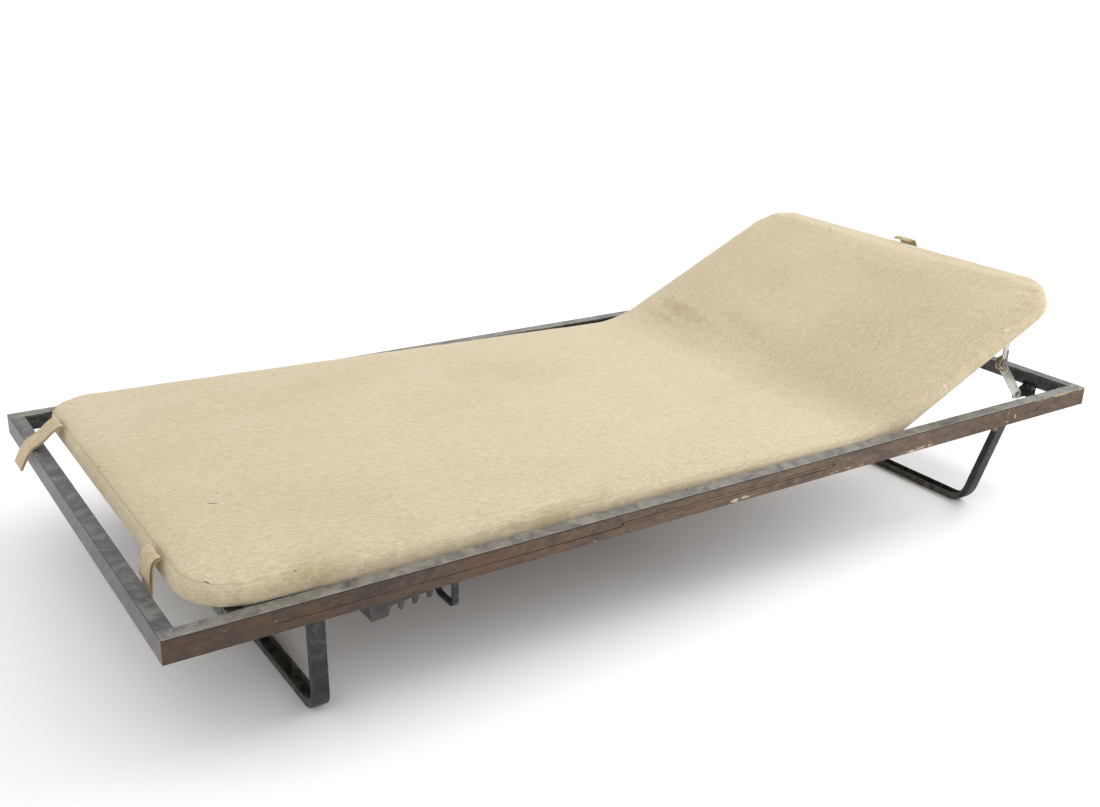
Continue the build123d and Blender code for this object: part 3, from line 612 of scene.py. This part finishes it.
def pad_outline(inset, steps=14):
    """The pad's outline as a loop, inset by so much."""
    radius = PAD_CORNER - inset
    corners = [
        (PAD_HEAD - PAD_CORNER, PAD_HALF_WIDTH - PAD_CORNER, 0.0),
        (PAD_FOOT + PAD_CORNER, PAD_HALF_WIDTH - PAD_CORNER, pi / 2),
        (PAD_FOOT + PAD_CORNER, -PAD_HALF_WIDTH + PAD_CORNER, pi),
        (PAD_HEAD - PAD_CORNER, -PAD_HALF_WIDTH + PAD_CORNER, 3 * pi / 2),
    ]
    turns = [(u, y, start + pi / 2 * k / steps) for u, y, start in corners for k in range(steps + 1)]
    return [(u + radius * cos(turn), y + radius * sin(turn)) for u, y, turn in turns]


def pad_blank():
    """The pad before it is stuffed: its outline as a slab with rounded rims, a little small all round."""
    loop = pad_outline(PAD_SWELL)
    slab = bmesh.new()
    corners = [slab.verts.new((u, y, PAD_UNDERSIDE)) for u, y in loop]
    bottom = slab.faces.new(corners)
    top = bmesh.ops.extrude_face_region(slab, geom=[bottom])["geom"]
    raised = [part for part in top if isinstance(part, bmesh.types.BMVert)]
    bmesh.ops.translate(slab, verts=raised, vec=(0, 0, PAD_THICKNESS - PAD_SWELL))
    bmesh.ops.recalc_face_normals(slab, faces=slab.faces)
    rims = [e for e in slab.edges if abs(e.verts[0].co.z - e.verts[1].co.z) < 1e-6]
    bmesh.ops.bevel(slab, geom=rims, offset=PAD_RIM, segments=4, profile=0.5, affect="EDGES")
    mesh = bpy.data.meshes.new("pad")
    slab.to_mesh(mesh)
    slab.free()
    made = bpy.data.objects.new("pad", mesh)
    bpy.context.scene.collection.objects.link(made)
    remesh = made.modifiers.new("remesh", "REMESH")
    remesh.mode = "VOXEL"
    remesh.voxel_size = VOXEL
    apply_modifiers(made)
    return made


def stuff(piece, pressure=4.0, frames=20, most=0.006):
    """Swells the pad by cloth simulation, with its underside held flat, and keeps each point within reach."""
    before = points_of(piece.data)
    held = piece.vertex_groups.new(name="held")
    low = PAD_UNDERSIDE + PAD_RIM * 0.6
    held.add([int(i) for i in np.flatnonzero(before[:, 2] < low)], 1.0, "REPLACE")
    cloth = piece.modifiers.new("cloth", "CLOTH")
    cloth.settings.quality = 3
    cloth.settings.use_pressure = True
    cloth.settings.uniform_pressure_force = pressure
    cloth.settings.effector_weights.gravity = 0.0
    cloth.settings.vertex_group_mass = "held"
    cloth.settings.tension_stiffness = 18.0
    cloth.settings.compression_stiffness = 18.0
    cloth.settings.bending_stiffness = 1.5
    cloth.point_cache.frame_start, cloth.point_cache.frame_end = 1, frames
    for number in range(1, frames + 1):
        bpy.context.scene.frame_set(number)
    graph = bpy.context.evaluated_depsgraph_get()
    after = points_of(piece.evaluated_get(graph).data)
    piece.modifiers.clear()
    bpy.context.scene.frame_set(1)
    move = after - before
    length = np.linalg.norm(move, axis=1)[:, None]
    write_points(piece.data, before + move * most / (most + length))


def unevenness(u, y):
    """The pad's stuffing, settled into soft hollows and ridges, in metres."""
    waves = [
        (0.0011, 7.1, 3.3, 0.4),
        (0.0009, -4.3, 6.9, 2.1),
        (0.0006, 15.2, 5.7, 4.4),
        (0.0006, 3.8, -17.0, 1.3),
        (0.0004, 24.0, 13.0, 3.0),
        (0.0004, -19.0, 23.0, 5.1),
        (0.0003, 41.0, -9.0, 0.9),
    ]
    return sum(high * np.sin(a * u + b * y + turn) for high, a, b, turn in waves)


def crown(u):
    """How much fuller the stuffing is along the middle of each section, in metres."""
    return np.interp(u, (PAD_FOOT, -1.10, -0.70, -0.25, 0.0, 0.20, 0.33, 0.45, 0.52, PAD_HEAD), CROWN)


def round_the_rim(u, y):
    """A running length along the outline, for ripples across the rim."""
    middle = (PAD_FOOT + PAD_HEAD) / 2
    return np.arctan2(y * 1.4, u - middle) * 0.9 + np.where(np.abs(y) > PAD_HALF_WIDTH * 0.8, u, y)


def dress_pad(points):
    """Puckers at the rim, the dip of the topstitched seam and the unevenness of the stuffing."""
    u, y, v = points.T
    inside = outline_distance(u, y)
    share = np.clip((v - PAD_UNDERSIDE) / PAD_THICKNESS, 0, 1)
    top = share**2
    ripple = round_the_rim(u, y)
    pucker = np.sin(ripple * 150) * 0.6 + np.sin(ripple * 231 + 1.0) * 0.4
    gathered = np.exp(-((inside - 0.012) / 0.014) ** 2)
    seam = np.exp(-(((inside - SEAM_INSET) / 0.0045) ** 2))
    settled = unevenness(u, y) + crown(u)
    fuller = share * np.interp(u, (-0.06, 0.10), FULLER)
    settled = settled * np.clip(inside / 0.05, 0, 1)
    lift = fuller + top * (settled + pucker * gathered * PUCKER_DEPTH - seam * SEAM_DEPTH)
    return points + np.stack([0 * u, 0 * u, lift], axis=1)


def fold(points):
    """The flat pattern laid over the two sections: straight on each, and one round bend across the hinge."""
    u, y, v = points.T
    turn = FOOT_SLOPE + HEAD_SLOPE
    vertex = PAD_UNDERSIDE * np.tan(turn / 2)
    radius = BEND_REACH / np.tan(turn / 2)
    share = np.clip((u + BEND_REACH + vertex) / (2 * (BEND_REACH + vertex)), 0, 1)
    angle = -FOOT_SLOPE + turn * share
    start = -BEND_REACH - vertex
    base_x = start * cos(FOOT_SLOPE) + PAD_UNDERSIDE * sin(FOOT_SLOPE)
    base_z = -start * sin(FOOT_SLOPE) + PAD_UNDERSIDE * cos(FOOT_SLOPE)
    arc_x = base_x + radius * (np.sin(angle) - sin(-FOOT_SLOPE))
    arc_z = base_z + radius * (cos(-FOOT_SLOPE) - np.cos(angle))
    beyond = np.minimum(u - start, 0) + np.maximum(u + start, 0)
    x = arc_x + beyond * np.cos(angle) - (v - PAD_UNDERSIDE) * np.sin(angle)
    z = arc_z + beyond * np.sin(angle) + (v - PAD_UNDERSIDE) * np.cos(angle)
    return np.stack([HINGE.x + x, y, HINGE.z + z], axis=1)


def half_pad(whole, towards_head, name):
    """The part of the pad on one side of the hinge, closed where it is cut, with the whole pad's shading."""
    part = bmesh.new()
    part.from_mesh(whole)
    side = 1 if towards_head else -1
    gone = [f for f in part.faces if (f.calc_center_median().x - HINGE.x) * side < 0]
    bmesh.ops.delete(part, geom=gone, context="FACES")
    rim = [e for e in part.edges if e.is_boundary]
    cap = bmesh.ops.holes_fill(part, edges=rim)["faces"]
    bmesh.ops.triangulate(part, faces=cap)
    mesh = bpy.data.meshes.new(name)
    part.to_mesh(mesh)
    part.free()
    mesh.materials.clear()
    normals = np.zeros(len(mesh.vertices) * 3)
    mesh.attributes["whole_normal"].data.foreach_get("vector", normals)
    normals = normals.reshape(-1, 3)
    loops = np.zeros(len(mesh.loops), int)
    mesh.loops.foreach_get("vertex_index", loops)
    corner_normals = normals[loops]
    points = points_of(mesh)
    for face in mesh.polygons:
        if all(abs(points[i][0] - HINGE.x) < 1e-6 for i in face.vertices):
            corner_normals[face.loop_start : face.loop_start + face.loop_total] = (-side, 0, 0)
    mesh.polygons.foreach_set("use_smooth", [True] * len(mesh.polygons))
    mesh.normals_split_custom_set(corner_normals.tolist())
    mesh.attributes.remove(mesh.attributes["whole_normal"])
    made = bpy.data.objects.new(name, mesh)
    bpy.context.scene.collection.objects.link(made)
    return made


def make_pad(material):
    """The whole pad, made flat, stuffed, folded over the sections and parted at the hinge."""
    piece = pad_blank()
    stuff(piece)
    finer = piece.modifiers.new("finer", "SUBSURF")
    finer.levels = finer.render_levels = 1
    apply_modifiers(piece)
    flat = points_of(piece.data)
    write_attribute(piece.data, "pad_flat", flat)
    write_attribute(piece.data, "from_edge", outline_distance(flat[:, 0], flat[:, 1]))
    write_points(piece.data, fold(dress_pad(flat)))
    whole = bmesh.new()
    whole.from_mesh(piece.data)
    every = [*whole.verts, *whole.edges, *whole.faces]
    bmesh.ops.bisect_plane(whole, geom=every, dist=1e-6, plane_co=(HINGE.x, 0, 0), plane_no=(1, 0, 0))
    whole.normal_update()
    layer = whole.verts.layers.float_vector.new("whole_normal")
    for corner in whole.verts:
        corner[layer] = corner.normal
    whole.to_mesh(piece.data)
    whole.free()
    halves = half_pad(piece.data, False, "pad_foot_half"), half_pad(piece.data, True, "pad_head_half")
    bpy.data.objects.remove(piece)
    for half in halves:
        half.data.materials.append(material)
    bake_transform(halves[0])
    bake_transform(halves[1])
    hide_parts("foot_pad")
    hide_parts("head_pad")
    return halves


# ---- straps ----
def ribbon(points, faces, flat, line, y, width, thickness, cup=0.0, along_from=0.0):
    """Adds a closed strip of webbing along a smooth line of (x, z), and its flat pattern."""
    path = smooth_line(line)
    run = np.concatenate([[0], np.cumsum(np.linalg.norm(np.diff(path, axis=0), axis=1))])
    tangent = np.gradient(path, axis=0)
    tangent /= np.linalg.norm(tangent, axis=1)[:, None]
    normal = np.stack([-tangent[:, 1], tangent[:, 0]], axis=1)
    section = strip_section(width, thickness)
    first, count = len(points), len(section)
    for (x, z), (nx, nz), s in zip(path, normal, run):
        for across, out in section:
            share = 2 * across / width
            lift = out + cup * (1 - share**2)
            points.append((x + nx * lift, y + across, z + nz * lift))
            flat.append((along_from + s, across, out))
    for ring in range(len(path) - 1):
        for k in range(count):
            a, b = first + ring * count + k, first + ring * count + (k + 1) % count
            faces.append((a, b, b + count, a + count))
    faces.append(tuple(first + k for k in reversed(range(count))))
    faces.append(tuple(first + (len(path) - 1) * count + k for k in range(count)))
    return run[-1]


def strip_section(width, thickness, columns=12):
    """A thin rounded section across the strap, as (across, out) points."""
    across = np.linspace(-width / 2 + thickness / 2, width / 2 - thickness / 2, columns)
    ends = np.linspace(-pi / 2, pi / 2, 5)[1:-1]
    top = [(a, thickness / 2) for a in across]
    bottom = [(a, -thickness / 2) for a in across[::-1]]
    right = [(across[-1] + thickness / 2 * cos(t), -thickness / 2 * sin(t)) for t in -ends[::-1]][::-1]
    left = [(across[0] - thickness / 2 * cos(t), thickness / 2 * sin(t)) for t in ends]
    return top + right[::-1] + bottom + left


def strap(name, node, y, layers, body, pad_half, material):
    """A strap of one or two layers of webbing, each a line of (x, z) in metres and how far it is cupped."""
    points, faces, flat, total = [], [], [], 0.0
    for line, cup in layers:
        total += ribbon(points, faces, flat, line, y, WEBBING_WIDTH, WEBBING_THICKNESS, cup, total)
    made = new_mesh(name, points, faces, material)
    write_attribute(made.data, "strap_flat", np.array(flat))
    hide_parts(node)
    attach(made, body)
    return made


def from_foot(*route):
    """A route of (millimetres from the foot end, millimetres above the rails' tops) in the row frame."""
    return [(FOOT_END + x / 1000, FRAME_TOP + z / 1000) for x, z in route]


def on_head(*route):
    """A route of (along the head section, above the hinge axis) in millimetres, in the row frame."""
    turned = []
    for u, v in route:
        x = u * cos(HEAD_SLOPE) - v * sin(HEAD_SLOPE)
        z = u * sin(HEAD_SLOPE) + v * cos(HEAD_SLOPE)
        turned.append((HINGE.x + x / 1000, HINGE.z + z / 1000))
    return turned


# ---- assembly ----
def give(material, *names):
    """Gives a material to CAD nodes, and a small bevel to their hard edges."""
    for name in names:
        node = nodes[name]
        if not node.material_slots:
            node.data.materials.append(material)
        for held in node.material_slots:
            held.material = material
        weld = node.modifiers.new("weld", "WELD")
        weld.merge_threshold = 0.00001
        edge = node.modifiers.new("edge", "BEVEL")
        edge.width, edge.segments = EDGE_RADIUS, 2
        edge.limit_method, edge.angle_limit = "ANGLE", radians(35)


def camera():
    data = bpy.data.cameras.new("camera")
    data.lens, data.sensor_width, data.sensor_fit = CAMERA_LENS, CAMERA_SENSOR, "HORIZONTAL"
    data.clip_start, data.clip_end = 0.05, 100.0
    made = bpy.data.objects.new("camera", data)
    bpy.context.scene.collection.objects.link(made)
    made.location = CAMERA_AT
    made.rotation_euler = [radians(turn) for turn in CAMERA_TURN]
    bpy.context.scene.camera = made


def floor():
    corners = [(-FLOOR_REACH, -FLOOR_REACH, 0), (FLOOR_REACH, -FLOOR_REACH, 0)]
    corners += [(FLOOR_REACH, FLOOR_REACH, 0), (-FLOOR_REACH, FLOOR_REACH, 0)]
    made = new_mesh("floor", corners, [(0, 1, 2, 3)], floor_white())


def floor_white():
    shader = Shader("floor_white")
    shade = shader.noise(shader.place(), 0.7, 2.0)
    white = shader.ramp(shade, (0.3, (0.955, 0.955, 0.955)), (0.7, (0.965, 0.965, 0.965)))
    shader.set(Base_Color=white, Roughness=0.9)
    return shader.material


def area_light(name, place, aim, size, power):
    data = bpy.data.lights.new(name, "AREA")
    data.shape, data.size, data.energy = "SQUARE", size, power
    made = bpy.data.objects.new(name, data)
    made.location = place
    made.rotation_euler = (Vector(aim) - Vector(place)).to_track_quat("-Z", "Y").to_euler()
    bpy.context.scene.collection.objects.link(made)


def studio():
    world = bpy.data.worlds.new("studio")
    world.use_nodes = True
    world.node_tree.nodes["Background"].inputs["Color"].default_value = (1.0, 1.0, 1.0, 1.0)
    world.node_tree.nodes["Background"].inputs["Strength"].default_value = 1.09
    bpy.context.scene.world = world
    bpy.context.scene.view_settings.view_transform = "Standard"
    area_light("overhead", (3.6, -0.4, 2.4), (0.0, 0.0, 0.2), 2.2, 90.0)
    area_light("side", (2.6, -2.6, 2.0), (0.3, 0.0, 0.2), 1.6, 8.0)


def straps(material):
    """The two foot straps, of two layers each, and the head strap."""
    far_outer = from_foot(
        (57, 37), (48, 36), (37, 29), (24, 18), (10, 9.5), (0, 4.0), (-8, -6), (-16, -20), (-22, -33)
    )
    far_inner = from_foot(
        (55, 33), (47, 32), (36, 25.5), (23, 14.5), (9.5, 6.5), (1.0, 2.0), (-5.6, -7.5), (-13.2, -21),
        (-19.6, -33),
    )
    near_outer = from_foot((54, 35), (47, 34.5), (41, 30), (37.5, 21), (35.5, 8), (34.5, -8))
    near_inner = from_foot((53, 31), (47, 30), (43.0, 24), (40.5, 12), (38.5, -8), (36.5, -30))
    over_head = on_head((568, 58), (575, 59.5), (583, 55), (587, 43), (585.5, 28), (582, 16))
    far_layers = [(far_outer, 0.0012), (far_inner, 0.0006)]
    near_layers = [(near_outer, 0.0008), (near_inner, -0.0006)]
    foot = ("foot_section", "pad_foot_half", material)
    head = ("head_section", "pad_head_half", material)
    strap("foot_strap_far_webbing", "foot_strap_far", 0.285, far_layers, *foot)
    strap("foot_strap_near_webbing", "foot_strap_near", -0.280, near_layers, *foot)
    strap("head_strap_webbing", "head_strap", 0.003, [(over_head, 0.0010)], *head)


def main():
    camera()
    floor()
    studio()
    by_slot = {
        "rail_paint": rail_paint(), "leg_paint": leg_paint(), "section_paint": section_paint(),
        "bare_steel": bare_steel(), "zinc_steel": zinc(), "brass_disc": brass(), "board": board(),
        "buffer_rubber": rubber(), "pad_cloth": pad_cloth(), "webbing": webbing(),
    }
    for part in frame["record"]["subparts"]:
        give(by_slot[part["material_slot"]], part["node"])
    make_pad(by_slot["pad_cloth"])
    straps(by_slot["webbing"])


main()
